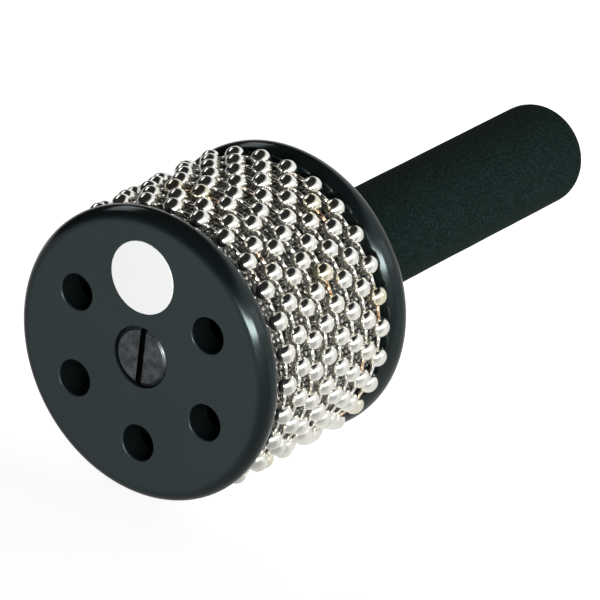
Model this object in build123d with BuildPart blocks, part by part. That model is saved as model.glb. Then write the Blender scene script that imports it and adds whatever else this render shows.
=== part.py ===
"""Cabasa: a grip with a drum head, whose steel sleeve is wrapped in eight loose loops of ball chain.

The axis of the drum and of the grip is +X, from the front disc to the end of the grip. The origin is
the centre of the front disc's face, +Z is up and the part lies on its side, as on a table.
Millimetres, and angles in degrees from +Y towards +Z.
"""

import os
from math import cos, floor, pi, radians, sin, sqrt, tan

from build123d import *

# End discs, with a spigot behind each that centres the core
DISC_D = 88.0
DISC_THICK = 8.6
RIM_PROUD = 4.2
SPIGOT_DEEP = 5.0
SPIGOT_WALL = 1.8
BOSS_WALL = 3.4

# Sound holes of the front disc, on a ring of places whose top one is left whole
HOLE_D = 11.0
HOLE_PLACES = 6
HOLE_TO_SPIGOT = 0.6
HOLE_EDGE_ROUND = 0.4

# Sleeve and the hollow core that carries it
SLEEVE_SHEET = 0.6
CORE_WALL = 3.0

# Ball chain: hollow beads, which stand a little proud of the discs, on wire links with headed ends.
# Each loop has the angle of one of its beads as it lies at rest.
BEAD_D = 6.2
BEAD_WALL = 0.4
BEADS_PROUD = 0.75
LINK_SHOWN = 3.1
WIRE_D = 1.2
LINK_HEAD_THICK = 0.6
LINK_HEAD_LIP = 0.15
LOOP_GAP = 0.2
END_GAP = 1.2
LOOP_ANGLES = (142.1, 137.3, 142.1, 138.5, 133.4, 139.1, 132.5, 138.6)

# Coin-slot bolt and the insert that it screws into
BOLT_D = 8.0
BOLT_HEAD_D = 18.2
BOLT_HEAD_THICK = 3.0
BOLT_HEAD_CHAMFER = 1.2
BOLT_HEAD_SUNK = 0.3
BOLT_TIP_GAP = 4.0
SLOT_WIDE = 2.0
SLOT_DEEP = 1.5
SLOT_ANGLE = 95.0
INSERT_WALL = 1.95
INSERT_LONG = 18.0

# Grip: a foam sleeve with a closed end, on a dowel that stands in the rear disc's socket
HANDLE_CORE_D = 22.0
FOAM_WALL = 4.75
FOAM_END_WALL = 9.0
GRIP_LONG = 134.3
GRIP_END_ROUND = 7.5
SOCKET_FLOOR = 3.3

# Clearances, on each side
SEAT_PLAY = 0.05
BOLT_PLAY = 0.3
HEAD_PLAY = 0.25
BEAD_PLAY = 0.25
LINK_PLAY = 0.15

# Radii of the drum, from the discs inwards
disc_r = DISC_D / 2
face_r = disc_r - RIM_PROUD
bead_r = BEAD_D / 2
chain_r = disc_r + BEADS_PROUD - bead_r
sleeve_r = chain_r - bead_r - BEAD_PLAY
sleeve_bore_r = sleeve_r - SLEEVE_SHEET
core_r = sleeve_bore_r - SEAT_PLAY
core_bore_r = core_r - CORE_WALL
spigot_r = core_bore_r - SEAT_PLAY
spigot_bore_r = spigot_r - SPIGOT_WALL
hole_ring_r = spigot_bore_r - HOLE_TO_SPIGOT - HOLE_D / 2

# Radii of the bolt and the grip, from the axis outwards
bolt_r = BOLT_D / 2
bolt_hole_r = bolt_r + BOLT_PLAY
bolt_head_r = BOLT_HEAD_D / 2
counterbore_r = bolt_head_r + HEAD_PLAY
insert_bore_r = bolt_r + SEAT_PLAY
insert_r = insert_bore_r + INSERT_WALL
handle_core_r = HANDLE_CORE_D / 2
socket_r = handle_core_r + SEAT_PLAY
grip_r = socket_r + FOAM_WALL

# Places along the axis
loop_pitch = BEAD_D + LOOP_GAP
drum_start = DISC_THICK
first_loop = drum_start + END_GAP + bead_r
last_loop = first_loop + (len(LOOP_ANGLES) - 1) * loop_pitch
drum_end = last_loop + bead_r + END_GAP
head_end = drum_end + DISC_THICK
front_spigot_end = drum_start + SPIGOT_DEEP
rear_spigot_end = drum_end - SPIGOT_DEEP
socket_floor = rear_spigot_end + SOCKET_FLOOR
insert_end = socket_floor + INSERT_LONG
bolt_seat = BOLT_HEAD_SUNK + BOLT_HEAD_THICK
bolt_tip = insert_end - BOLT_TIP_GAP
grip_end = head_end + GRIP_LONG
handle_core_end = grip_end - FOAM_END_WALL

# Pitch of the chain, its links and the holes of its beads, which let the links slant along the chords
beads_per_loop = floor(2 * pi * chain_r / (BEAD_D + LINK_SHOWN))
bead_step = 360 / beads_per_loop
link_slant = radians(bead_step / 2)
link_ring_r = chain_r * cos(link_slant)
bead_pitch = 2 * chain_r * sin(link_slant)
wire_r = WIRE_D / 2
bead_bore_r = bead_r - BEAD_WALL
bead_hole_r = bead_r * tan(link_slant) + wire_r / cos(link_slant) + LINK_PLAY
link_head_r = bead_hole_r + LINK_HEAD_LIP
link_end = bead_pitch / 2 - link_head_r * tan(link_slant) - LINK_PLAY


def across(x):
    """The sketch plane square to the axis at x, with +Y to its right and +Z up."""
    return Plane.YZ.offset(x)


def band(start, end, inner_r, outer_r, mode=Mode.ADD):
    """A rectangle of a half section, from start to end along the axis and between two radii."""
    with Locations((start, inner_r)):
        return Rectangle(end - start, outer_r - inner_r, align=Align.MIN, mode=mode)


def disc_plate(start):
    """A disc's half section from the bolt's hole to its rim, which bulges between two flat faces."""
    middle = start + DISC_THICK / 2
    end = start + DISC_THICK
    with BuildLine() as outline:
        EllipticalCenterArc((middle, face_r), DISC_THICK / 2, RIM_PROUD, start_angle=0, arc_size=180)
        Polyline((start, face_r), (start, bolt_hole_r), (end, bolt_hole_r), (end, face_r))
    return make_face(outline.edges())


# Front disc: bulged rim, spigot and boss behind it, counterbore for the bolt and five sound holes
with BuildPart() as front_disc:
    with BuildSketch(Plane.XY):
        disc_plate(0)
        band(drum_start, front_spigot_end, spigot_bore_r, spigot_r)
        band(drum_start, front_spigot_end, bolt_hole_r, counterbore_r + BOSS_WALL)
        band(0, bolt_seat, 0, counterbore_r, mode=Mode.SUBTRACT)
    revolve(axis=Axis.X)
    hole_step = 360 / HOLE_PLACES
    with BuildSketch(across(0)):
        with PolarLocations(hole_ring_r, HOLE_PLACES - 1, 90 + hole_step, 360 - hole_step):
            Circle(HOLE_D / 2)
    extrude(amount=DISC_THICK, mode=Mode.SUBTRACT)
    hole_mouths = front_disc.edges(Select.LAST).filter_by(GeomType.CIRCLE).group_by(Axis.X)[0]
    fillet(hole_mouths, HOLE_EDGE_ROUND)

# Rear disc: the same rim and spigot, with a socket for the grip's core and a hole for the bolt
with BuildPart() as rear_disc:
    with BuildSketch(Plane.XY):
        disc_plate(drum_end)
        band(rear_spigot_end, drum_end, spigot_bore_r, spigot_r)
        band(rear_spigot_end, drum_end, bolt_hole_r, socket_r + BOSS_WALL)
        band(socket_floor, head_end, 0, socket_r, mode=Mode.SUBTRACT)
    revolve(axis=Axis.X)

# Hollow core between the discs, round their spigots
with BuildPart() as drum_core:
    with BuildSketch(Plane.XY):
        band(drum_start, drum_end, core_bore_r, core_r)
    revolve(axis=Axis.X)

# Steel sleeve on the core, between the discs
with BuildPart() as textured_sleeve:
    with BuildSketch(Plane.XY):
        band(drum_start, drum_end, sleeve_bore_r, sleeve_r)
    revolve(axis=Axis.X)

# Bolt: chamfered flat head with a coin slot, and a shank down to the insert
with BuildPart() as clamp_bolt:
    with BuildSketch(Plane.XY):
        head = band(BOLT_HEAD_SUNK, bolt_seat, 0, bolt_head_r)
        head_rim = head.vertices().group_by(Axis.Y)[-1].sort_by(Axis.X)[0]
        chamfer(head_rim, BOLT_HEAD_CHAMFER)
        band(bolt_seat, bolt_tip, 0, bolt_r)
    revolve(axis=Axis.X)
    with BuildSketch(across(BOLT_HEAD_SUNK)):
        Rectangle(BOLT_HEAD_D, SLOT_WIDE, rotation=SLOT_ANGLE)
    extrude(amount=SLOT_DEEP, mode=Mode.SUBTRACT)

# Insert in the front end of the grip's core, where the bolt ends
with BuildPart() as threaded_insert:
    with BuildSketch(Plane.XY):
        band(socket_floor, insert_end, insert_bore_r, insert_r)
    revolve(axis=Axis.X)

# Grip's core: a dowel bored for the insert
with BuildPart() as handle_core:
    with BuildSketch(Plane.XY):
        band(socket_floor, handle_core_end, 0, handle_core_r)
        band(socket_floor, insert_end, 0, insert_r + SEAT_PLAY, mode=Mode.SUBTRACT)
    revolve(axis=Axis.X)

# Foam grip: a thick sleeve over the core, closed and rounded at its end
with BuildPart() as foam_grip:
    with BuildSketch(Plane.XY):
        grip = band(head_end, grip_end, 0, grip_r)
        grip_rim = grip.vertices().group_by(Axis.Y)[-1].sort_by(Axis.X)[-1]
        fillet(grip_rim, GRIP_END_ROUND)
        band(head_end, handle_core_end, 0, socket_r, mode=Mode.SUBTRACT)
    revolve(axis=Axis.X)

# One bead: a thin ball shell with a hole at each end of the chain's direction, which is Y here
hole_outer_y = sqrt(bead_r**2 - bead_hole_r**2)
hole_inner_y = sqrt(bead_bore_r**2 - bead_hole_r**2)
with BuildPart() as bead:
    with BuildSketch(Plane.XY):
        with BuildLine():
            ThreePointArc((bead_hole_r, -hole_outer_y), (bead_r, 0), (bead_hole_r, hole_outer_y))
            Line((bead_hole_r, hole_outer_y), (bead_hole_r, hole_inner_y))
            ThreePointArc((bead_hole_r, hole_inner_y), (bead_bore_r, 0), (bead_hole_r, -hole_inner_y))
            Line((bead_hole_r, -hole_inner_y), (bead_hole_r, -hole_outer_y))
        make_face()
    revolve(axis=Axis.Y)

# One link: a wire along Y with a flat head at each end, caught inside two beads
with BuildPart() as link:
    with BuildSketch(Plane.XY):
        Rectangle(wire_r, 2 * link_end, align=(Align.MIN, Align.CENTER))
        for side in (-1, 1):
            with Locations((0, side * (link_end - LINK_HEAD_THICK / 2))):
                Rectangle(link_head_r, LINK_HEAD_THICK, align=(Align.MIN, Align.CENTER))
    revolve(axis=Axis.Y)

pieces = {
    "front_disc": front_disc,
    "rear_disc": rear_disc,
    "drum_core": drum_core,
    "textured_sleeve": textured_sleeve,
    "clamp_bolt": clamp_bolt,
    "threaded_insert": threaded_insert,
    "handle_core": handle_core,
    "foam_grip": foam_grip,
}

# Loops of chain: beads in a ring round the sleeve, and a link on each chord between two of them
for number, bead_angle in enumerate(LOOP_ANGLES, start=1):
    loop_plane = across(first_loop + (number - 1) * loop_pitch)
    with BuildPart(loop_plane) as loop_beads:
        with PolarLocations(chain_r, beads_per_loop, bead_angle):
            add(bead.part)
    with BuildPart(loop_plane) as loop_links:
        with PolarLocations(link_ring_r, beads_per_loop, bead_angle + bead_step / 2):
            add(link.part)
    pieces[f"loop_{number}_beads"] = loop_beads
    pieces[f"loop_{number}_links"] = loop_links

os.makedirs("parts", exist_ok=True)
for name, piece in pieces.items():
    piece.part.label = name
    export_step(piece.part, f"parts/{name}.step")
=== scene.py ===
"""Looks of a cabasa: a drum head wrapped in loops of ball chain, between two black discs, on a foam grip.

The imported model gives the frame. Its axis is +X, from the front disc's face at the origin to the end
of the grip, and +Z is up. Everything here is in metres, in that frame.
"""

from __future__ import annotations

import logging
import math
from dataclasses import dataclass
from enum import Enum
from typing import Any, Callable, Sequence

import bpy
from mathutils import Matrix, Quaternion, Vector, noise

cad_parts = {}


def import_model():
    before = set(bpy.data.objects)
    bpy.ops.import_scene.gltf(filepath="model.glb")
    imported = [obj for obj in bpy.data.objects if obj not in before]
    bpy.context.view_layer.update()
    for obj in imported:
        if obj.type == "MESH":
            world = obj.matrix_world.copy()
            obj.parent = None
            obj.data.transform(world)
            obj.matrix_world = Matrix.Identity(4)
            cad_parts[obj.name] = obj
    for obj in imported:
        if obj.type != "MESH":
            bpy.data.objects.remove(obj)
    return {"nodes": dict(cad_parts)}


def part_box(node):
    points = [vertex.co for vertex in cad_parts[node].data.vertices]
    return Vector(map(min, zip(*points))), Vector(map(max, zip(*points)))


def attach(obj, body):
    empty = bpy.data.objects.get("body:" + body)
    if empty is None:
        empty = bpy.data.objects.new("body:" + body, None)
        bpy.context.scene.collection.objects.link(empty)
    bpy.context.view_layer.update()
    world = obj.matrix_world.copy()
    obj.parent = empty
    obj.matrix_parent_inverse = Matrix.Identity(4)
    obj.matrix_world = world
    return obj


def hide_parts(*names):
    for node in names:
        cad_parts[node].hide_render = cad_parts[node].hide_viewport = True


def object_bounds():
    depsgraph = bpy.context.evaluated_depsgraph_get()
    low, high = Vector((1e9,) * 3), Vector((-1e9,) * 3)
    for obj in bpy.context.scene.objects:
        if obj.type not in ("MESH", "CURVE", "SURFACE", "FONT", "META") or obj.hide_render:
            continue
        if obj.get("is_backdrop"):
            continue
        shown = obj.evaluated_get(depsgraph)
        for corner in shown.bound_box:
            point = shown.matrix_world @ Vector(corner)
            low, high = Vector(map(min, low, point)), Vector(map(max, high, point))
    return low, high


LOG = logging.getLogger("cabasa")
MM = 0.001
FULL_TURN = 2.0 * math.pi

Colour = tuple[float, float, float, float]
Profile = Sequence[tuple[float, float]]
Range = tuple[float, float]
Socket = bpy.types.NodeSocket

WHITE: Colour = (1.0, 1.0, 1.0, 1.0)
NONE_TO_ALL: Range = (0.0, 1.0)
ALL_TO_NONE: Range = (1.0, 0.0)
# The values that most of a noise lies between
MOST_NOISE: Range = (0.3, 0.7)


class Body(Enum):
    """The moving bodies of the model; a loop's name also has its number."""

    FRAME = "frame"
    LOOP = "loop"

    def named(self, number: int | None = None) -> str:
        """The body's name in the model, with the loop's number where it has one."""
        return self.value if number is None else f"{self.value}_{number}"


class Slot(Enum):
    """Names of material slots; the chain's parts carry one, which nothing here reads."""

    SLEEVE = "sleeve"
    FOAM = "foam"
    BEADS = "beads"
    LINKS = "links"
    DISC = "disc"


def put_in_scene(name: str, data: bpy.types.ID) -> bpy.types.Object:
    """Make an object of a mesh, a lamp or a camera and link it to the scene.

    Args:
        name: The object's name.
        data: What it is made of.

    Returns:
        The new object.
    """
    obj = bpy.data.objects.new(name, data)
    bpy.context.scene.collection.objects.link(obj)
    return obj


class NodeSheet:
    """A node tree under construction, with short ways to add nodes and join them."""

    def __init__(self, tree: bpy.types.NodeTree) -> None:
        """Take the tree that the nodes go into.

        Args:
            tree: A shader or geometry node tree.
        """
        self.tree = tree

    def add(self, kind: str, inputs: dict[Any, Any] | None = None, **settings: Any) -> bpy.types.Node:
        """Add one node.

        Args:
            kind: The node's type in Blender.
            inputs: Values or output sockets for its inputs, by name or by number.
            **settings: Values for the node's own properties.

        Returns:
            The new node.
        """
        node = self.tree.nodes.new(kind)
        for name, value in settings.items():
            setattr(node, name, value)
        for key, value in (inputs or {}).items():
            self.feed(node.inputs[key], value)
        return node

    def feed(self, socket: Socket, value: Any) -> None:
        """Set an input to a value, or link an output socket to it.

        Args:
            socket: The input.
            value: A plain value, or the output socket of another node.
        """
        if isinstance(value, Socket):
            self.tree.links.new(value, socket)
        else:
            socket.default_value = value

    @staticmethod
    def known_as(sockets: Sequence[Socket], identifier: str) -> Socket:
        """The one of a node's sockets that has an identifier, where several share a name."""
        return next(socket for socket in sockets if socket.identifier == identifier)

    def math(self, operation: str, first: Any, second: Any = 0.0) -> Socket:
        """Work out one number from two.

        Args:
            operation: The Math node's operation.
            first: A number or a socket.
            second: A number or a socket.

        Returns:
            The result's socket.
        """
        return self.add("ShaderNodeMath", {0: first, 1: second}, operation=operation).outputs[0]

    def span(self, value: Socket, source: Range, target: Range = NONE_TO_ALL) -> Socket:
        """Map a number from one range to another, held at both ends and smooth between.

        Args:
            value: The number's socket.
            source: The range that it comes from.
            target: What the two ends of that range become.

        Returns:
            The result's socket.
        """
        inputs = {"Value": value, "From Min": source[0], "From Max": source[1],
                  "To Min": target[0], "To Max": target[1]}
        return self.add("ShaderNodeMapRange", inputs, interpolation_type="SMOOTHSTEP").outputs["Result"]

    def axis(self, vector: Socket, letter: str) -> Socket:
        """One of the three numbers of a vector, by the letter of its axis."""
        return self.add("ShaderNodeSeparateXYZ", {0: vector}).outputs[letter]

    def round_drum(self, along: Socket, radius: Socket, angle: Socket) -> Socket:
        """Make a point from its place round the drum.

        Args:
            along: Its place along the drum's axis.
            radius: Its distance from the axis.
            angle: Its turn about the axis.

        Returns:
            The point's socket.
        """
        across = self.math("MULTIPLY", radius, self.math("COSINE", angle))
        upward = self.math("MULTIPLY", radius, self.math("SINE", angle))
        return self.add("ShaderNodeCombineXYZ", {0: along, 1: across, 2: upward}).outputs[0]


@dataclass(frozen=True)
class Grain:
    """A cloudy or speckled pattern over a surface.

    Attributes:
        scale: Blobs for each metre.
        detail: Layers of finer blobs.
        weight: How much the finer blobs count.
    """

    scale: float
    detail: float = 3.0
    weight: float = 0.55


@dataclass(frozen=True)
class Relief:
    """How far a pattern stands out of a surface.

    Attributes:
        height: The height of the pattern's peaks.
        shows: How much of it shows, from 0 to 1.
    """

    height: float
    shows: float


@dataclass(frozen=True)
class Wear:
    """How the roughness of a surface varies.

    Attributes:
        grain: The pattern that it follows.
        rough: The least and the most roughness.
        band: The pattern's values that these two belong to.
    """

    grain: Grain
    rough: Range
    band: Range = MOST_NOISE


class FinishSheet(NodeSheet):
    """A material under construction: a Principled shader and the nodes that feed it."""

    def __init__(self, name: str, **sockets: Any) -> None:
        """Start a material.

        Args:
            name: The material's name.
            **sockets: Plain values for the shader, with underscores for the spaces of their names.
        """
        self.material = bpy.data.materials.new(name)
        self.material.use_nodes = True
        super().__init__(self.material.node_tree)
        self.tree.nodes.clear()
        inputs = {key.replace("_", " "): value for key, value in sockets.items()}
        self.shader = self.add("ShaderNodeBsdfPrincipled", inputs)
        self.add("ShaderNodeOutputMaterial", {"Surface": self.shader.outputs["BSDF"]})
        coordinates = self.add("ShaderNodeTexCoord").outputs
        self.place = coordinates["Object"]
        self.facing = coordinates["Normal"]

    def noise(self, grain: Grain, place: Socket | None = None) -> Socket:
        """Spread a pattern over the piece's own coordinates.

        Args:
            grain: The pattern.
            place: Other coordinates for it, where it is stretched.

        Returns:
            The pattern's value, from 0 to 1.
        """
        inputs = {"Vector": self.place if place is None else place, "Scale": grain.scale,
                  "Detail": grain.detail, "Roughness": grain.weight}
        return self.add("ShaderNodeTexNoise", inputs).outputs["Fac"]

    def radius(self) -> Socket:
        """The distance of a point from the drum's axis."""
        across = {letter: self.axis(self.place, letter) for letter in "YZ"}
        flat = self.add("ShaderNodeCombineXYZ", across).outputs[0]
        return self.add("ShaderNodeVectorMath", {0: flat}, operation="LENGTH").outputs["Value"]

    def blend(self, share: Socket, first: Any, second: Any) -> Socket:
        """Mix two colours.

        Args:
            share: How much of the second, from 0 to 1.
            first: A colour or a socket.
            second: A colour or a socket.

        Returns:
            The mixed colour's socket.
        """
        node = self.add("ShaderNodeMix", data_type="RGBA")
        for name, value in (("Factor_Float", share), ("A_Color", first), ("B_Color", second)):
            self.feed(self.known_as(node.inputs, name), value)
        return self.known_as(node.outputs, "Result_Color")

    def drive(self, socket: str, value: Socket) -> None:
        """Feed one of the shader's inputs, by its name."""
        self.feed(self.shader.inputs[socket], value)

    def bump(self, pattern: Socket, relief: Relief) -> None:
        """Give the surface a relief on top of any that it has.

        Args:
            pattern: The relief's shape, from 0 to 1.
            relief: How far it stands out.
        """
        node = self.add("ShaderNodeBump", {
            "Height": pattern, "Distance": relief.height, "Strength": relief.shows})
        before = self.shader.inputs["Normal"].links
        if before:
            self.feed(node.inputs["Normal"], before[0].from_socket)
        self.drive("Normal", node.outputs["Normal"])

    def roughen(self, wear: Wear) -> None:
        """Let the roughness vary over the surface, as its wear says."""
        self.drive("Roughness", self.span(self.noise(wear.grain), wear.band, wear.rough))


@dataclass(frozen=True)
class DiscPlastic:
    """Black moulded plastic of the discs: grained satin faces, and smooth rims and insides, which take
    the rims' own black and, down the holes and on the inner faces, painted shade.
    """

    front_face: float
    rear_face: float
    dark: Colour = (0.0172, 0.0244, 0.0262, 1.0)
    light: Colour = (0.0210, 0.0284, 0.0302, 1.0)
    # The rims' own black, also used as painted shade on the hole walls and inner faces
    rim_and_hole_shade: Colour = (0.0035, 0.0055, 0.0058, 1.0)
    sheen: Colour = (0.78, 0.97, 0.96, 1.0)
    refraction: float = 1.42
    face_rough: float = 0.30
    rim_rough: float = 0.13
    face_radius: float = 39.4 * MM
    rim_radius: float = 42.4 * MM
    face_skin: float = 0.3 * MM
    face_depth: float = 0.9 * MM
    clouds: Grain = Grain(60.0, detail=4.0)
    grain: Grain = Grain(2600.0, detail=2.0)
    grain_rough: float = 0.06
    grain_relief: Relief = Relief(0.012 * MM, shows=0.4)

    def make(self) -> bpy.types.Material:
        """Build the material.

        Returns:
            The new material, for both discs.
        """
        sheet = FinishSheet("disc_plastic", IOR=self.refraction, Specular_Tint=self.sheen)
        face = sheet.blend(sheet.noise(self.clouds), self.dark, self.light)
        outer = sheet.span(sheet.radius(), (self.face_radius, self.rim_radius))
        depth = sheet.axis(sheet.place, "X")
        behind = (self.front_face + self.face_skin, self.front_face + self.face_depth)
        before = (self.rear_face - self.face_depth, self.rear_face - self.face_skin)
        # Painted shade: everything between the two faces takes the rims' black, the hole walls and inner
        # faces as well as the rims' sides
        sides_and_hole_shade = sheet.math("MINIMUM", sheet.span(depth, behind), sheet.span(depth, before, ALL_TO_NONE))
        sheet.drive("Base Color", sheet.blend(sheet.math("MAXIMUM", outer, sides_and_hole_shade), face, self.rim_and_hole_shade))
        grain = sheet.noise(self.grain)
        base = sheet.span(outer, NONE_TO_ALL, (self.face_rough, self.rim_rough))
        sheet.drive("Roughness", sheet.math("ADD", base, sheet.math("MULTIPLY", grain, self.grain_rough)))
        sheet.bump(grain, self.grain_relief)
        return sheet.material


@dataclass(frozen=True)
class PlainPlastic:
    """Dull black plastic of the core inside the drum."""

    colour: Colour = (0.012, 0.013, 0.013, 1.0)
    wear: Wear = Wear(Grain(300.0), rough=(0.55, 0.7))

    def make(self) -> bpy.types.Material:
        """Build the material.

        Returns:
            The new material.
        """
        sheet = FinishSheet("core_plastic", Base_Color=self.colour)
        sheet.roughen(self.wear)
        return sheet.material


@dataclass(frozen=True)
class PlatedSteel:
    """Nickel plate over steel, with a painted warm reflection on some pieces, picked at random."""

    name: str
    bright: Colour = (0.87, 0.86, 0.80, 1.0)
    # Painted warm reflection, for the copies whose random number is high
    warm_reflection: Colour = (0.82, 0.77, 0.61, 1.0)
    warm_reflection_from: float = 0.93
    wear: Wear = Wear(Grain(900.0, detail=4.0), rough=(0.11, 0.19), band=(0.35, 0.7))
    dents: Grain = Grain(700.0, detail=2.0)
    dent_relief: Relief = Relief(0.015 * MM, shows=0.6)

    def make(self) -> bpy.types.Material:
        """Build the material.

        Returns:
            The new material, which reads each copy's own tint.
        """
        sheet = FinishSheet(self.name, Metallic=1.0)
        tint = sheet.add("ShaderNodeAttribute", attribute_name=RingTree.TINT).outputs["Fac"]
        # Painted reflection: copies with a high random number turn warm
        warm_reflection = sheet.span(tint, (self.warm_reflection_from, 1.0))
        sheet.drive("Base Color", sheet.blend(warm_reflection, self.bright, self.warm_reflection))
        sheet.roughen(self.wear)
        sheet.bump(sheet.noise(self.dents), self.dent_relief)
        return sheet.material


@dataclass(frozen=True)
class EmbossedSteel:
    """Stainless sheet of the sleeve, pressed all over, with painted shade in its hollows."""

    crest_radius: float
    hollow_radius: float
    crest: Colour = (0.62, 0.61, 0.57, 1.0)
    # Painted shade for the hollows of the pressing
    hollow_shade: Colour = (0.08, 0.08, 0.08, 1.0)
    wear: Wear = Wear(Grain(1500.0), rough=(0.12, 0.24))
    dents: Grain = Grain(1800.0)
    dent_relief: Relief = Relief(0.05 * MM, shows=0.4)

    def make(self) -> bpy.types.Material:
        """Build the material.

        Returns:
            The new material.
        """
        sheet = FinishSheet("embossed_steel", Metallic=1.0)
        height = sheet.span(sheet.radius(), (self.hollow_radius, self.crest_radius))
        # Painted shade: darker towards the hollows, by distance from the axis
        sheet.drive("Base Color", sheet.blend(height, self.hollow_shade, self.crest))
        sheet.roughen(self.wear)
        sheet.bump(sheet.noise(self.dents), self.dent_relief)
        return sheet.material


@dataclass(frozen=True)
class BlackenedSteel:
    """Dark steel of the bolt, with the rings that turning left on its head.

    Its slot is painted with shade, near black: the floor, from slot_floor below the head's face on, and
    the walls, which are the faces that look along the axis by less than wall_facing.
    """

    head_face: float
    dark: Colour = (0.053, 0.062, 0.067, 1.0)
    light: Colour = (0.230, 0.262, 0.282, 1.0)
    # Painted shade for the slot's floor and walls
    slot: Colour = (0.004, 0.004, 0.004, 1.0)
    slot_floor: float = 1.4 * MM
    wall_facing: float = 0.5
    metal: float = 0.85
    ring_pitch: float = 0.55 * MM
    ring_relief: Relief = Relief(0.02 * MM, shows=0.5)
    rubbed: Grain = Grain(420.0, detail=4.0)
    rubbed_share: Range = (0.1, 0.9)
    wear: Wear = Wear(Grain(700.0), rough=(0.3, 0.45))

    def make(self) -> bpy.types.Material:
        """Build the material.

        Returns:
            The new material.
        """
        sheet = FinishSheet("blackened_steel", Metallic=self.metal)
        wave = sheet.math("SINE", sheet.math("MULTIPLY", sheet.radius(), FULL_TURN / self.ring_pitch))
        rings = sheet.math("MULTIPLY", sheet.math("ADD", wave, 1.0), 0.5)
        rubbed = sheet.span(sheet.noise(self.rubbed), MOST_NOISE, self.rubbed_share)
        turned = sheet.blend(sheet.math("MULTIPLY", rings, rubbed), self.dark, self.light)
        depth = sheet.axis(sheet.place, "X")
        floor = sheet.math("GREATER_THAN", depth, self.head_face + self.slot_floor)
        facing = sheet.math("ABSOLUTE", sheet.axis(sheet.facing, "X"))
        wall = sheet.math("LESS_THAN", facing, self.wall_facing)
        # Painted shade: the slot's floor and walls take the slot colour
        sheet.drive("Base Color", sheet.blend(sheet.math("MAXIMUM", floor, wall), turned, self.slot))
        sheet.roughen(self.wear)
        sheet.bump(rings, self.ring_relief)
        return sheet.material


@dataclass(frozen=True)
class TurnedBrass:
    """Brass of the insert inside the grip."""

    colour: Colour = (0.70, 0.52, 0.22, 1.0)
    wear: Wear = Wear(Grain(500.0), rough=(0.25, 0.4))

    def make(self) -> bpy.types.Material:
        """Build the material.

        Returns:
            The new material.
        """
        sheet = FinishSheet("turned_brass", Metallic=1.0, Base_Color=self.colour)
        sheet.roughen(self.wear)
        return sheet.material


@dataclass(frozen=True)
class DowelWood:
    """Pale wood of the grip's core, with its grain along the axis."""

    pale: Colour = (0.60, 0.44, 0.27, 1.0)
    deep: Colour = (0.42, 0.28, 0.15, 1.0)
    rough: float = 0.6
    grain: Grain = Grain(900.0, detail=4.0, weight=0.5)
    grain_stretch: tuple[float, float, float] = (0.05, 1.0, 1.0)

    def make(self) -> bpy.types.Material:
        """Build the material.

        Returns:
            The new material.
        """
        sheet = FinishSheet("dowel_wood", Roughness=self.rough)
        stretched = sheet.add("ShaderNodeMapping", {"Vector": sheet.place, "Scale": self.grain_stretch})
        grain = sheet.noise(self.grain, stretched.outputs[0])
        sheet.drive("Base Color", sheet.blend(grain, self.pale, self.deep))
        return sheet.material


@dataclass(frozen=True)
class ClosedFoam:
    """Black closed-cell foam: dull, with fine pores and a faint bloom."""

    dark: Colour = (0.0026, 0.0068, 0.0060, 1.0)
    light: Colour = (0.0176, 0.0386, 0.0345, 1.0)
    rough: float = 0.85
    shine: float = 0.05
    pore_scale: float = 1900.0
    pore_relief: Relief = Relief(0.12 * MM, shows=0.7)
    mottle: Grain = Grain(1300.0, detail=4.0)
    mottle_band: Range = (0.35, 0.7)
    mottle_share: Range = (0.2, 1.0)
    mottle_relief: Relief = Relief(0.15 * MM, shows=0.5)

    def make(self) -> bpy.types.Material:
        """Build the material.

        Returns:
            The new material.
        """
        sheet = FinishSheet("closed_foam", Roughness=self.rough, Specular_IOR_Level=self.shine)
        cells = sheet.add("ShaderNodeTexVoronoi", {"Vector": sheet.place, "Scale": self.pore_scale})
        pores = cells.outputs["Distance"]
        mottle = sheet.noise(self.mottle)
        bloom = sheet.math("MULTIPLY", sheet.span(mottle, self.mottle_band, self.mottle_share), pores)
        sheet.drive("Base Color", sheet.blend(bloom, self.dark, self.light))
        sheet.bump(pores, self.pore_relief)
        sheet.bump(mottle, self.mottle_relief)
        return sheet.material


@dataclass(frozen=True)
class PlateWhite:
    """Dull white of the round plate on the front disc."""

    colour: Colour = (0.765, 0.780, 0.765, 1.0)
    shade: Colour = (0.740, 0.755, 0.740, 1.0)
    rough: float = 0.9
    shine: float = 0.1
    clouds: Grain = Grain(120.0)
    grain: Grain = Grain(1600.0, detail=2.0)
    grain_relief: Relief = Relief(0.01 * MM, shows=0.4)

    def make(self) -> bpy.types.Material:
        """Build the material.

        Returns:
            The new material.
        """
        sheet = FinishSheet("plate_white", Roughness=self.rough, Specular_IOR_Level=self.shine)
        sheet.drive("Base Color", sheet.blend(sheet.noise(self.clouds), self.colour, self.shade))
        sheet.bump(sheet.noise(self.grain), self.grain_relief)
        return sheet.material


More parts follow.
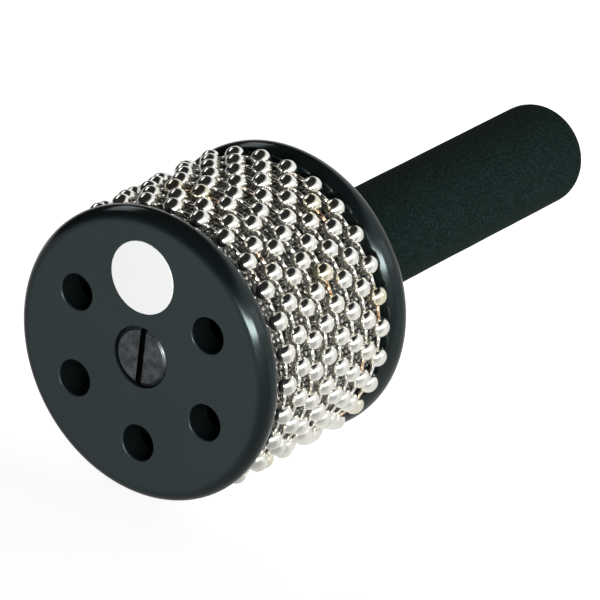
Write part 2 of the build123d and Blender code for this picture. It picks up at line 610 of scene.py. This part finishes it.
class MeshMaker:
    """Turns points and faces into objects at the origin, with their place in their mesh."""

    ON_AXIS = 0.0001 * MM

    @staticmethod
    def from_faces(name: str, points: Sequence[Vector],
                   faces: Sequence[Sequence[int]]) -> bpy.types.Object:
        """Make an object of smooth faces.

        Args:
            name: The object's name.
            points: Its vertices.
            faces: Its faces, as indices of the vertices, anticlockwise from outside.

        Returns:
            The new object.
        """
        mesh = bpy.data.meshes.new(name)
        mesh.from_pydata([tuple(p) for p in points], [], faces)
        mesh.validate()
        mesh.shade_smooth()
        return put_in_scene(name, mesh)

    @classmethod
    def lathe(cls, name: str, profile: Profile, segments: int,
              place: Callable[[float, float, float], Vector]) -> bpy.types.Object:
        """Turn a profile round an axis, with single points where it meets the axis.

        Args:
            name: The object's name.
            profile: Pairs of a place along the axis and a radius, along the surface.
            segments: Faces round the axis.
            place: Gives the point for a place along the axis, a radius and an angle.

        Returns:
            The new object.
        """
        points: list[Vector] = []
        rows: list[list[int]] = []
        for along, radius in profile:
            count = segments if radius > cls.ON_AXIS else 1
            rows.append(list(range(len(points), len(points) + count)))
            points += [place(along, radius, FULL_TURN * i / segments) for i in range(count)]
        faces: list[list[int]] = []
        for low, high in zip(rows, rows[1:]):
            for i in range(segments):
                corners = [low[i % len(low)], low[(i + 1) % len(low)],
                           high[(i + 1) % len(high)], high[i % len(high)]]
                faces.append(list(dict.fromkeys(corners)))
        return cls.from_faces(name, points, faces)


class GrowingTree:
    """Geometry nodes that make a piece from named inputs, one of which is its finish.

    Attributes:
        NAME: The tree's name.
        INPUTS: Its inputs, as names and types.
    """

    NAME: str
    INPUTS: tuple[tuple[str, str], ...]

    def __init__(self) -> None:
        """Build the tree."""
        self.tree = bpy.data.node_groups.new(self.NAME, "GeometryNodeTree")
        face = self.tree.interface
        face.new_socket("Geometry", in_out="OUTPUT", socket_type="NodeSocketGeometry")
        self.sockets = {name: face.new_socket(name, in_out="INPUT", socket_type=kind).identifier
                        for name, kind in self.INPUTS}
        sheet = NodeSheet(self.tree)
        given = sheet.add("NodeGroupInput").outputs
        real = sheet.add("GeometryNodeRealizeInstances", {"Geometry": self.shape(sheet, given)})
        dressed = sheet.add("GeometryNodeSetMaterial", {
            "Geometry": real.outputs[0], "Material": given["Finish"]})
        sheet.add("NodeGroupOutput", {"Geometry": dressed.outputs[0]})

    def shape(self, sheet: NodeSheet, given: Any) -> Socket:
        """Add the nodes that make the shape.

        Args:
            sheet: The tree's nodes.
            given: The sockets of the tree's inputs, by name.

        Returns:
            The shape's socket.
        """
        raise NotImplementedError

    def grow(self, name: str, **values: Any) -> bpy.types.Object:
        """Run the tree once and keep its result as a plain mesh.

        Args:
            name: The new object's name.
            **values: The tree's inputs, with underscores for the spaces of their names.

        Returns:
            The new object, with no modifier.
        """
        host = put_in_scene(f"{name}_host", bpy.data.meshes.new(f"{name}_host"))
        modifier = host.modifiers.new("grow", "NODES")
        modifier.node_group = self.tree
        for key, value in values.items():
            modifier[self.sockets[key.replace("_", " ")]] = value
        graph = bpy.context.evaluated_depsgraph_get()
        mesh = bpy.data.meshes.new_from_object(host.evaluated_get(graph))
        mesh.name = name
        bpy.data.objects.remove(host)
        return put_in_scene(name, mesh)


class RingTree(GrowingTree):
    """Geometry nodes that set copies of one small piece in a ring round the drum's axis.

    Attributes:
        TINT: The attribute that holds each copy's own random number.
        SWAYS: How often the ring sways to one side and back in a turn.
    """

    NAME = "ring_of_pieces"
    INPUTS = (
        ("Piece", "NodeSocketObject"),
        ("Count", "NodeSocketInt"),
        ("Ring Radius", "NodeSocketFloat"),
        ("Along Axis", "NodeSocketFloat"),
        ("First Angle", "NodeSocketFloat"),
        ("Sway", "NodeSocketFloat"),
        ("Sway Phase", "NodeSocketFloat"),
        ("Seed", "NodeSocketInt"),
        ("Finish", "NodeSocketMaterial"),
    )
    TINT = "tint"
    SWAYS = 2.0

    def shape(self, sheet: NodeSheet, given: Any) -> Socket:
        """Add the nodes that set the copies in a ring.

        Args:
            sheet: The tree's nodes.
            given: The sockets of the tree's inputs, by name.

        Returns:
            The copies' socket.
        """
        step = sheet.math("DIVIDE", FULL_TURN, given["Count"])
        turn = sheet.math("MULTIPLY", sheet.add("GeometryNodeInputIndex").outputs[0], step)
        angle = sheet.math("ADD", given["First Angle"], turn)
        phase = sheet.math("ADD", sheet.math("MULTIPLY", angle, self.SWAYS), given["Sway Phase"])
        sway = sheet.math("MULTIPLY", sheet.math("SINE", phase), given["Sway"])
        along = sheet.math("ADD", given["Along Axis"], sway)
        points = sheet.add("GeometryNodePoints", {
            "Count": given["Count"], "Position": sheet.round_drum(along, given["Ring Radius"], angle)})
        piece = sheet.add("GeometryNodeObjectInfo", {"Object": given["Piece"]})
        facing = sheet.add("ShaderNodeCombineXYZ", {0: angle})
        copies = sheet.add("GeometryNodeInstanceOnPoints", {
            "Points": points.outputs[0], "Instance": piece.outputs["Geometry"],
            "Rotation": facing.outputs[0]})
        chance = sheet.add("FunctionNodeRandomValue", data_type="FLOAT")
        sheet.feed(sheet.known_as(chance.inputs, "Seed"), given["Seed"])
        tinted = sheet.add("GeometryNodeStoreNamedAttribute", {
            "Geometry": copies.outputs[0], "Name": self.TINT}, data_type="FLOAT", domain="INSTANCE")
        value = sheet.known_as(chance.outputs, "Value_001")
        sheet.feed(sheet.known_as(tinted.inputs, "Value"), value)
        return tinted.outputs[0]


@dataclass(frozen=True)
class ChainPart:
    """One kind of piece in the loops, and how it is set in a ring.

    Attributes:
        kind: The piece's kind, as the model's nodes name it.
        pattern: The object that is copied.
        ring: The radius of the ring.
        offset: The turn from a bead to the first copy.
        finish: Its material.
        slot: Its material slot; not used.
    """

    kind: str
    pattern: bpy.types.Object
    ring: float
    offset: float
    finish: bpy.types.Material
    slot: Slot


@dataclass
class BallChains:
    """The eight loops of ball chain round the sleeve, each on its own body.

    Attributes:
        angles: The turn of each loop's first bead, in degrees.
        beads_per_loop: Beads, and links, in a loop.
        bead_segments: Faces round a bead.
        bead_rows: Rows of points from hole to hole.
        hole_radius: The radius of a bead's hole.
        lip_depth: How far the hole is turned in.
        link_segments: Faces round a link.
        wire_radius: The radius of a link's wire.
        wire_stop: Where a wire ends, as a share of the bead's radius from its middle.
        link_warm_reflection: The colour of the warmest links, a painted warm reflection.
        link_warm_reflection_from: The tint from which a link takes the painted warm reflection.
        sway: How far a loop sways along the drum.
        sway_step: The turn of the sway from loop to loop.
    """

    angles: tuple[float, ...] = (142.1, 137.3, 142.1, 138.5, 133.4, 139.1, 132.5, 138.6)
    beads_per_loop: int = 28
    bead_segments: int = 16
    bead_rows: int = 9
    hole_radius: float = 1.1 * MM
    lip_depth: float = 0.35 * MM
    link_segments: int = 10
    wire_radius: float = 0.6 * MM
    wire_stop: float = 0.5
    # Painted warm reflection on some links
    link_warm_reflection: Colour = (0.80, 0.55, 0.36, 1.0)
    link_warm_reflection_from: float = 0.84
    sway: float = 0.03 * MM
    sway_step: float = 1.7

    def __post_init__(self) -> None:
        """Take the bead's size and the chain's radius from the frame."""
        low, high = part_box("loop_1_beads")
        self.bead_radius = (high.x - low.x) / 2
        widest = max(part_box(self.node(n, "beads"))[1].z for n in range(1, len(self.angles) + 1))
        self.chain_radius = widest - self.bead_radius
        LOG.info("beads of %.2f mm on a circle of %.2f mm",
                 2 * self.bead_radius / MM, 2 * self.chain_radius / MM)

    @staticmethod
    def node(number: int, kind: str) -> str:
        """The model's node of a loop's beads or links."""
        return f"loop_{number}_{kind}"

    def bead(self) -> bpy.types.Object:
        """Make a bead with a turned-in hole at each end, along Z.

        Returns:
            The bead that is copied.
        """
        edge = math.asin(self.hole_radius / self.bead_radius)
        turns = [edge + (math.pi - 2 * edge) * i / (self.bead_rows - 1) for i in range(self.bead_rows)]
        ball = [(-self.bead_radius * math.cos(t), self.bead_radius * math.sin(t)) for t in turns]
        first = (ball[0][0] + self.lip_depth, 0.0)
        last = (ball[-1][0] - self.lip_depth, 0.0)
        return MeshMaker.lathe("bead_pattern", [first, *ball, last], self.bead_segments, self.about_z)

    def link(self, half_length: float) -> bpy.types.Object:
        """Make a straight piece of wire along Z.

        Args:
            half_length: Half of its length.

        Returns:
            The link that is copied.
        """
        profile = [(-half_length, 0.0), (-half_length, self.wire_radius),
                   (half_length, self.wire_radius), (half_length, 0.0)]
        return MeshMaker.lathe("link_pattern", profile, self.link_segments, self.about_z)

    @staticmethod
    def about_z(along: float, radius: float, angle: float) -> Vector:
        """A point of a piece that is turned round Z."""
        return Vector((radius * math.cos(angle), radius * math.sin(angle), along))

    def parts(self) -> tuple[ChainPart, ChainPart]:
        """Make one bead and one link, with their finishes.

        Returns:
            What is copied round every loop.
        """
        half_step = math.pi / self.beads_per_loop
        half_pitch = self.chain_radius * math.sin(half_step)
        plate = PlatedSteel("nickel_beads")
        link_plate = PlatedSteel("nickel_links", warm_reflection=self.link_warm_reflection, warm_reflection_from=self.link_warm_reflection_from)
        link = self.link(half_pitch - self.wire_stop * self.bead_radius)
        link_ring = self.chain_radius * math.cos(half_step)
        return (ChainPart("beads", self.bead(), self.chain_radius, 0.0, plate.make(), Slot.BEADS),
                ChainPart("links", link, link_ring, half_step, link_plate.make(), Slot.LINKS))

    def build(self, tree: RingTree) -> list[bpy.types.Object]:
        """Make the beads and the links of every loop.

        Args:
            tree: The nodes that set copies in a ring.

        Returns:
            The new pieces.
        """
        parts = self.parts()
        made = []
        for number, angle in enumerate(self.angles, start=1):
            low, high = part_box(self.node(number, "beads"))
            for part in parts:
                piece = tree.grow(
                    f"chain_{number}_{part.kind}", Piece=part.pattern, Count=self.beads_per_loop,
                    Ring_Radius=part.ring, Along_Axis=(low.x + high.x) / 2,
                    First_Angle=math.radians(angle) + part.offset, Sway=self.sway,
                    Sway_Phase=self.sway_step * number, Seed=number, Finish=part.finish)
                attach(piece, Body.LOOP.named(number))
                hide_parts(self.node(number, part.kind))
                made.append(piece)
        for part in parts:
            bpy.data.objects.remove(part.pattern)
        return made


class EmbossTree(GrowingTree):
    """Geometry nodes that roll a sheet into a tube and press rows of small pyramids into it.

    Attributes:
        CUTS: Faces along each side of a pyramid.
        BACK_ROWS: Rows past the pressed ones, which turn back through the bore to the first one.
        TO_FAR_END: The rows up to here past the pressed ones are at the far end.
        IN_BORE: The rows between these two past the pressed ones are in the bore.
        SEAM: How near points are that become one.
    """

    NAME = "embossed_tube"
    INPUTS = (
        ("Start", "NodeSocketFloat"),
        ("Length", "NodeSocketFloat"),
        ("Crest Radius", "NodeSocketFloat"),
        ("Depth", "NodeSocketFloat"),
        ("Wall", "NodeSocketFloat"),
        ("Bumps Along", "NodeSocketInt"),
        ("Bumps Around", "NodeSocketInt"),
        ("Finish", "NodeSocketMaterial"),
    )
    CUTS = 4
    BACK_ROWS = 3
    TO_FAR_END = 1.5
    IN_BORE: Range = (0.5, 2.5)
    SEAM = 0.01 * MM

    def shape(self, sheet: NodeSheet, given: Any) -> Socket:
        """Add the nodes that roll and press the sheet.

        Args:
            sheet: The tree's nodes.
            given: The sockets of the tree's inputs, by name.

        Returns:
            The tube's socket.
        """
        cuts = sheet.math("MULTIPLY", given["Bumps Along"], self.CUTS)
        around_cuts = sheet.math("MULTIPLY", given["Bumps Around"], self.CUTS)
        last_row = sheet.math("ADD", cuts, self.BACK_ROWS)
        grid = sheet.add("GeometryNodeMeshGrid", {
            "Size X": 1.0, "Size Y": 1.0, "Vertices X": sheet.math("ADD", last_row, 1.0),
            "Vertices Y": sheet.math("ADD", around_cuts, 1.0)})
        here = sheet.add("GeometryNodeInputPosition").outputs[0]
        share_around = sheet.math("ADD", sheet.axis(here, "Y"), 0.5)
        row = sheet.math("MULTIPLY", sheet.math("ADD", sheet.axis(here, "X"), 0.5), last_row)
        past = sheet.math("SUBTRACT", row, cuts)
        outward = sheet.math("LESS_THAN", past, self.TO_FAR_END)
        reached = sheet.math("MINIMUM", sheet.math("DIVIDE", row, cuts), 1.0)
        share_along = sheet.math("MULTIPLY", outward, reached)
        inside = sheet.math("MULTIPLY", sheet.math("GREATER_THAN", past, self.IN_BORE[0]),
                            sheet.math("LESS_THAN", past, self.IN_BORE[1]))

        wave = sheet.math("MULTIPLY", share_along, sheet.math("MULTIPLY", given["Bumps Along"], math.pi))
        column = sheet.math("MULTIPLY", given["Bumps Around"], math.pi)
        ripple = sheet.math("SINE", sheet.math("MULTIPLY", share_around, column))
        press = sheet.math("ABSOLUTE", sheet.math("MULTIPLY", sheet.math("SINE", wave), ripple))
        sunk = sheet.math("MULTIPLY", sheet.math("SUBTRACT", 1.0, press), given["Depth"])
        pressed = sheet.math("SUBTRACT", given["Crest Radius"], sunk)
        bore = sheet.math("SUBTRACT", given["Wall"], given["Depth"])
        radius = sheet.math("SUBTRACT", pressed, sheet.math("MULTIPLY", inside, bore))
        along = sheet.math("ADD", given["Start"], sheet.math("MULTIPLY", share_along, given["Length"]))
        angle = sheet.math("MULTIPLY", share_around, FULL_TURN)

        rolled = sheet.add("GeometryNodeSetPosition", {
            "Geometry": grid.outputs["Mesh"], "Position": sheet.round_drum(along, radius, angle)})
        closed = sheet.add("GeometryNodeMergeByDistance", {
            "Geometry": rolled.outputs[0], "Distance": self.SEAM})
        return sheet.add("GeometryNodeFlipFaces", {"Mesh": closed.outputs[0]}).outputs[0]


@dataclass
class EmbossedSleeve:
    """The embossed steel sleeve that the beads scrape on."""

    bump_pitch: float = 2.0 * MM
    depth: float = 0.5 * MM
    wall: float = 0.6 * MM

    def build(self, tree: EmbossTree) -> bpy.types.Object:
        """Make the sleeve in the place of its plain tube.

        Args:
            tree: The nodes that roll and press the sheet.

        Returns:
            The new piece.
        """
        low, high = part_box("textured_sleeve")
        length = high.x - low.x
        piece = tree.grow(
            "sleeve_embossed", Start=low.x, Length=length, Crest_Radius=high.y, Depth=self.depth,
            Wall=self.wall, Bumps_Along=round(length / self.bump_pitch),
            Bumps_Around=round(FULL_TURN * high.y / self.bump_pitch),
            Finish=EmbossedSteel(crest_radius=high.y, hollow_radius=high.y - self.depth).make())
        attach(piece, Body.FRAME.named())
        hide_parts("textured_sleeve")
        return piece


@dataclass
class FoamGrip:
    """The foam grip: a soft round sleeve, faintly uneven, with a rounded end.

    Attributes:
        end_round: The radius of the far end's rounded edge.
        mouth_flat: The width of the flat rim round its mouth.
        mouth_edge: The slant of the mouth's outer edge.
        mouth_row: Where its even rows begin, past the rear disc.
        segments: Faces round the grip.
        rows: Rows of faces along it.
        end_rows: Rows of faces over the rounded edge.
        flat_rows: Rows of faces over the flat end.
        swell: How far the slack places are pulled in.
        swell_scale: Slack places for each metre.
        bore_play: The gap round the core.
    """

    end_round: float = 7.5 * MM
    mouth_flat: float = 1.5 * MM
    mouth_edge: float = 0.4 * MM
    mouth_row: float = 1.0 * MM
    segments: int = 96
    rows: int = 120
    end_rows: int = 12
    flat_rows: int = 5
    swell: float = 0.12 * MM
    swell_scale: float = 90.0
    bore_play: float = 0.05 * MM

    def __post_init__(self) -> None:
        """Take the bore from the core that it sits on."""
        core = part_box("handle_core")[1]
        self.bore_radius = core.y + self.bore_play
        self.bore_floor = core.x + self.bore_play

    def profile(self, start: float, end: float, radius: float) -> list[tuple[float, float]]:
        """The half section of the grip, from the floor of its bore to the middle of its end.

        Args:
            start: Where it meets the rear disc.
            end: Its far end.
            radius: Its radius.

        Returns:
            Pairs of a place along the axis and a radius.
        """
        shoulder = end - self.end_round
        line = [(self.bore_floor, 0.0), (self.bore_floor, self.bore_radius), (start, self.bore_radius)]
        line += [(start, radius - self.mouth_flat), (start, radius - self.mouth_edge),
                 (start + self.mouth_edge, radius)]
        first = start + self.mouth_row
        line += [(first + (shoulder - first) * i / self.rows, radius) for i in range(self.rows)]
        for i in range(self.end_rows + 1):
            turn = 0.5 * math.pi * i / self.end_rows
            line.append((shoulder + self.end_round * math.sin(turn),
                         radius - self.end_round * (1 - math.cos(turn))))
        flat = radius - self.end_round
        line += [(end, flat * (1 - i / self.flat_rows)) for i in range(1, self.flat_rows + 1)]
        return line

    def soften(self, along: float, radius: float, angle: float) -> Vector:
        """Pull a point of the grip in a little where the foam is slack.

        Args:
            along: Its place along the axis.
            radius: Its distance from the axis.
            angle: Its turn about the axis.

        Returns:
            The point.
        """
        spot = Vector((along, radius * math.cos(angle), radius * math.sin(angle)))
        if radius <= self.bore_radius:
            return spot
        slack = 0.5 * (noise.noise(spot * self.swell_scale) + 1.0)
        share = 1.0 - self.swell * slack / radius
        return Vector((along, spot.y * share, spot.z * share))

    def build(self) -> bpy.types.Object:
        """Make the grip in the place of its plain solid.

        Returns:
            The new piece.
        """
        low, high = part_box("foam_grip")
        profile = self.profile(low.x, high.x, high.y)
        piece = MeshMaker.lathe("grip_foam", profile, self.segments, self.soften)
        piece.data.materials.append(ClosedFoam().make())
        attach(piece, Body.FRAME.named())
        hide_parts("foam_grip")
        return piece


@dataclass
class FrontPlate:
    """The bare white plate on the front disc, above the bolt."""

    radius: float = 10.9 * MM
    ring_radius: float = 24.5 * MM
    thick: float = 0.25 * MM
    edge: float = 0.12 * MM
    segments: int = 72

    def place(self, along: float, radius: float, angle: float) -> Vector:
        """A point of the plate, from its place about the plate's own axis."""
        return Vector((along, radius * math.cos(angle), self.ring_radius + radius * math.sin(angle)))

    def build(self) -> bpy.types.Object:
        """Make the plate, lying on the disc's face.

        Returns:
            The new piece.
        """
        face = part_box("front_disc")[0].x
        top = face - self.thick
        # The second row keeps the shading of the rounded edge off the flat top
        profile = [(top, 0.0), (top, self.radius - 2 * self.edge), (top, self.radius - self.edge),
                   (top + self.edge, self.radius), (face, self.radius), (face, 0.0)]
        piece = MeshMaker.lathe("front_plate", profile, self.segments, self.place)
        piece.data.materials.append(PlateWhite().make())
        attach(piece, Body.FRAME.named())
        return piece


class RigidPieces:
    """The model's own discs, core, bolt and inner pieces, which keep their shape and get their finish."""

    def dress(self, nodes: dict[str, bpy.types.Object]) -> None:
        """Give each piece its material.

        Args:
            nodes: The model's objects by name.
        """
        front_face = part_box("front_disc")[0].x
        disc = DiscPlastic(front_face=front_face, rear_face=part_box("rear_disc")[1].x).make()
        finishes = {
            "front_disc": disc,
            "rear_disc": disc,
            "drum_core": PlainPlastic().make(),
            "clamp_bolt": BlackenedSteel(head_face=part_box("clamp_bolt")[0].x).make(),
            "threaded_insert": TurnedBrass().make(),
            "handle_core": DowelWood().make(),
        }
        for name, material in finishes.items():
            slots = nodes[name].data.materials
            slots.clear()
            slots.append(material)
            LOG.info("%s wears %s", name, material.name)


@dataclass(frozen=True)
class Softbox:
    """A softbox: where it hangs, how large it is and how it is tilted.

    Attributes:
        name: The lamp's name.
        way: The direction from the object to it.
        size: Its width and height.
        watts: Its power.
        roll: Its turn about its own axis, in degrees; its right end rises.
        distance: How far off it hangs.
    """

    name: str
    way: tuple[float, float, float]
    size: tuple[float, float]
    watts: float
    roll: float = 0.0
    distance: float = 1.1

    def hang(self, target: Vector) -> None:
        """Hang the softbox so that it faces a point.

        Args:
            target: The point.
        """
        data = bpy.data.lights.new(self.name, "AREA")
        data.shape = "RECTANGLE"
        data.size, data.size_y = self.size
        data.energy = self.watts
        lamp = put_in_scene(self.name, data)
        direction = Vector(self.way).normalized()
        lamp.location = target + direction * self.distance
        tilt = Quaternion((0.0, 0.0, 1.0), math.radians(self.roll))
        lamp.rotation_euler = (direction.to_track_quat("Z", "Y") @ tilt).to_euler()
        lamp.visible_camera = False


@dataclass(frozen=True)
class Studio:
    """A white room with one dark side, a white table that is grey with painted shade before the object,
    and softboxes before and above the object.

    Attributes:
        softboxes: The lamps.
        floor_size: The length of the table's sides.
        floor_far: The table's colour behind the front disc.
        floor_near_shade: Its colour before the front disc, grey as painted shade.
        floor_grade: Where along X the one becomes the other.
        floor_rough: How dull it is.
        floor_lift: How much it glows to the camera.
        floor_mirrored: How much it glows in reflections.
        dark_way: The direction of the room's dark side.
        dark_grade: Where the dark side begins and where it is darkest, as cosines from that direction.
        room_glow: How bright the rest of the room and the dark side are.
    """

    softboxes: tuple[Softbox, ...] = (
        Softbox("key_softbox", (-0.795, -0.578, 0.182), (0.96, 0.16), 14.0, roll=19.0),
        Softbox("side_softbox", (0.0, -0.91, 0.41), (1.20, 0.36), 1.6),
        Softbox("strip_softbox", (0.107, 0.746, 0.643), (0.70, 0.28), 1.2),
    )
    floor_size: float = 6.0
    floor_far: Colour = (0.90, 0.90, 0.90, 1.0)
    # Grey painted shade on the table before the front disc
    floor_near_shade: Colour = (0.22, 0.22, 0.22, 1.0)
    floor_grade: Range = (-10.0 * MM, 60.0 * MM)
    floor_rough: float = 0.9
    floor_lift: float = 0.84
    floor_mirrored: float = 0.24
    dark_way: tuple[float, float, float] = (-0.30, 0.50, 0.81)
    dark_grade: Range = (0.15, 0.48)
    room_glow: Range = (0.94, 0.02)

    def build(self, floor_height: float, centre: Vector) -> None:
        """Make the floor, the lamps and the world.

        Args:
            floor_height: The level that the object lies on.
            centre: The point that the lamps face.
        """
        self.floor(floor_height)
        for softbox in self.softboxes:
            softbox.hang(centre)
        self.room()

    def floor(self, height: float) -> None:
        """Lay the floor, which is graded from grey painted shade in front to white behind.

        Args:
            height: Its level.
        """
        half = self.floor_size / 2
        spots = ((-half, -half), (half, -half), (half, half), (-half, half))
        floor = MeshMaker.from_faces("floor", [Vector((x, y, height)) for x, y in spots], [[0, 1, 2, 3]])
        sheet = FinishSheet("floor_white", Roughness=self.floor_rough, Emission_Color=WHITE)
        far = sheet.span(sheet.axis(sheet.place, "X"), self.floor_grade)
        # Painted shade: the table is grey before the front disc and white behind it
        sheet.drive("Base Color", sheet.blend(far, self.floor_near_shade, self.floor_far))
        path = sheet.add("ShaderNodeLightPath").outputs
        mirrored = sheet.math("MAXIMUM", path["Is Glossy Ray"], path["Is Transmission Ray"])
        sheet.drive("Emission Strength", sheet.math(
            "MAXIMUM", sheet.math("MULTIPLY", path["Is Camera Ray"], self.floor_lift),
            sheet.math("MULTIPLY", mirrored, self.floor_mirrored)))
        floor.data.materials.append(sheet.material)
        floor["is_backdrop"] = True

    def room(self) -> None:
        """Make the world: white to the camera, and white with one dark side to everything else."""
        world = bpy.data.worlds.new("room")
        world.use_nodes = True
        bpy.context.scene.world = world
        sheet = NodeSheet(world.node_tree)
        sheet.tree.nodes.clear()
        ways = {0: sheet.add("ShaderNodeTexCoord").outputs["Generated"],
                1: Vector(self.dark_way).normalized()}
        toward = sheet.add("ShaderNodeVectorMath", ways, operation="DOT_PRODUCT").outputs["Value"]
        glow = sheet.span(toward, self.dark_grade, self.room_glow)
        light = sheet.add("ShaderNodeBackground", {"Color": WHITE, "Strength": glow})
        white = sheet.add("ShaderNodeBackground", {"Color": WHITE, "Strength": 1.0})
        seen = sheet.add("ShaderNodeLightPath").outputs["Is Camera Ray"]
        mix = sheet.add("ShaderNodeMixShader", {0: seen, 1: light.outputs[0], 2: white.outputs[0]})
        sheet.add("ShaderNodeOutputWorld", {"Surface": mix.outputs[0]})


@dataclass(frozen=True)
class PhotoCamera:
    """The camera at the photograph's viewing angle: far off, with a long lens.

    Its angles are in degrees and its lens in millimetres. It is aimed to the right of the front disc's
    centre and above it.
    """

    azimuth: float = -53.89
    elevation: float = 22.24
    roll_about_drum: float = -2.69
    distance: float = 1.8305
    lens: float = 389.8
    aim_right: float = 45.05 * MM
    aim_up: float = 16.12 * MM
    sight: float = 20.0

    def build(self) -> None:
        """Make the camera, aimed beside the centre of the front disc's face."""
        turn = math.radians(self.azimuth)
        rise = math.radians(self.elevation)
        roll = Matrix.Rotation(math.radians(self.roll_about_drum), 3, "X")
        level = math.cos(rise)
        back = roll @ Vector((math.sin(turn) * level, -math.cos(turn) * level, math.sin(rise)))
        right = roll @ Vector((math.cos(turn), math.sin(turn), 0.0))
        up = back.cross(right)
        data = bpy.data.cameras.new("photo_camera")
        data.lens = self.lens
        data.clip_end = self.sight
        camera = put_in_scene("photo_camera", data)
        place = right * self.aim_right + up * self.aim_up + back * self.distance
        camera.matrix_world = Matrix.Translation(place) @ Matrix((right, up, back)).transposed().to_4x4()
        bpy.context.scene.camera = camera


def corners(box: tuple[Vector, Vector]) -> list[list[float]]:
    """A box as plain lists of numbers."""
    return [list(box[0]), list(box[1])]


def main() -> None:
    """Load the frame, build each sub-assembly on it, and set the studio and the camera."""
    logging.basicConfig(level=logging.INFO, format="%(name)s: %(message)s")
    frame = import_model()
    cad_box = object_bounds()
    bpy.context.scene.view_settings.view_transform = "Standard"

    RigidPieces().dress(frame["nodes"])
    pieces = [EmbossedSleeve().build(EmbossTree()), FoamGrip().build(), FrontPlate().build()]
    pieces += BallChains().build(RingTree())
    for piece in pieces:
        LOG.info("%s has %d faces", piece.name, len(piece.data.polygons))

    Studio().build(cad_box[0].z, (cad_box[0] + cad_box[1]) / 2)
    PhotoCamera().build()
    {"cad": corners(cad_box), "visual": corners(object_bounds())}


if __name__ == "__main__":
    main()
